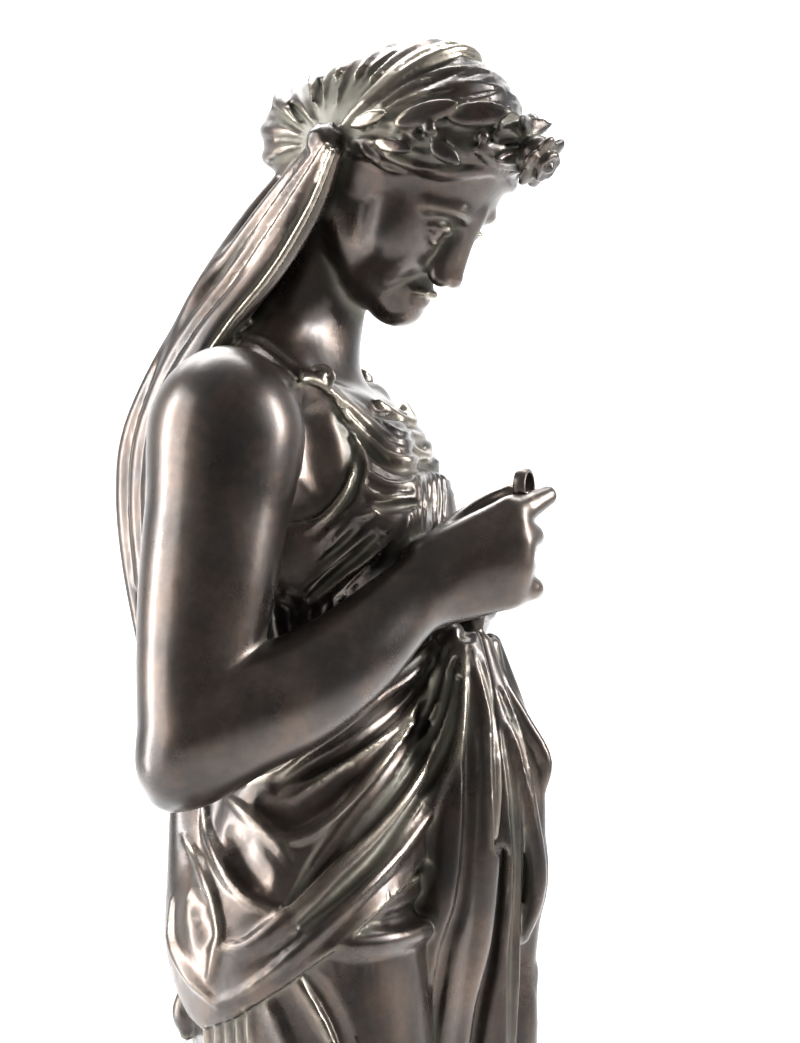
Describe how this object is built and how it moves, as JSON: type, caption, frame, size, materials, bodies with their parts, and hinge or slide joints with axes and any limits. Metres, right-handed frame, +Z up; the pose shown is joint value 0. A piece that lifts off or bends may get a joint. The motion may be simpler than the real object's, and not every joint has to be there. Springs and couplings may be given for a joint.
{
  "type": "bronze statue of a draped woman",
  "caption": "Bronze statuette of a standing woman in a long dress and cloak, wreathed and veiled, who looks down at a small ring, on a low round base.",
  "frame": {"origin": "middle of the base's underside", "axes": "+Z up, the chest faces -Y, the right arm is at -X"},
  "size_m": [0.1474, 0.128, 0.5087],
  "materials": {
    "figure bronze": "cast bronze with a dark brown patina, satin with rubbed highlights",
    "ring bronze": "cast bronze with a dark brown patina, rubbed brighter",
    "base bronze": "turned bronze with a dark brown patina"
  },
  "bodies": {
    "root": {"figure": "figure bronze", "ring": "ring bronze", "base": "base bronze"}
  },
  "joints": []
}
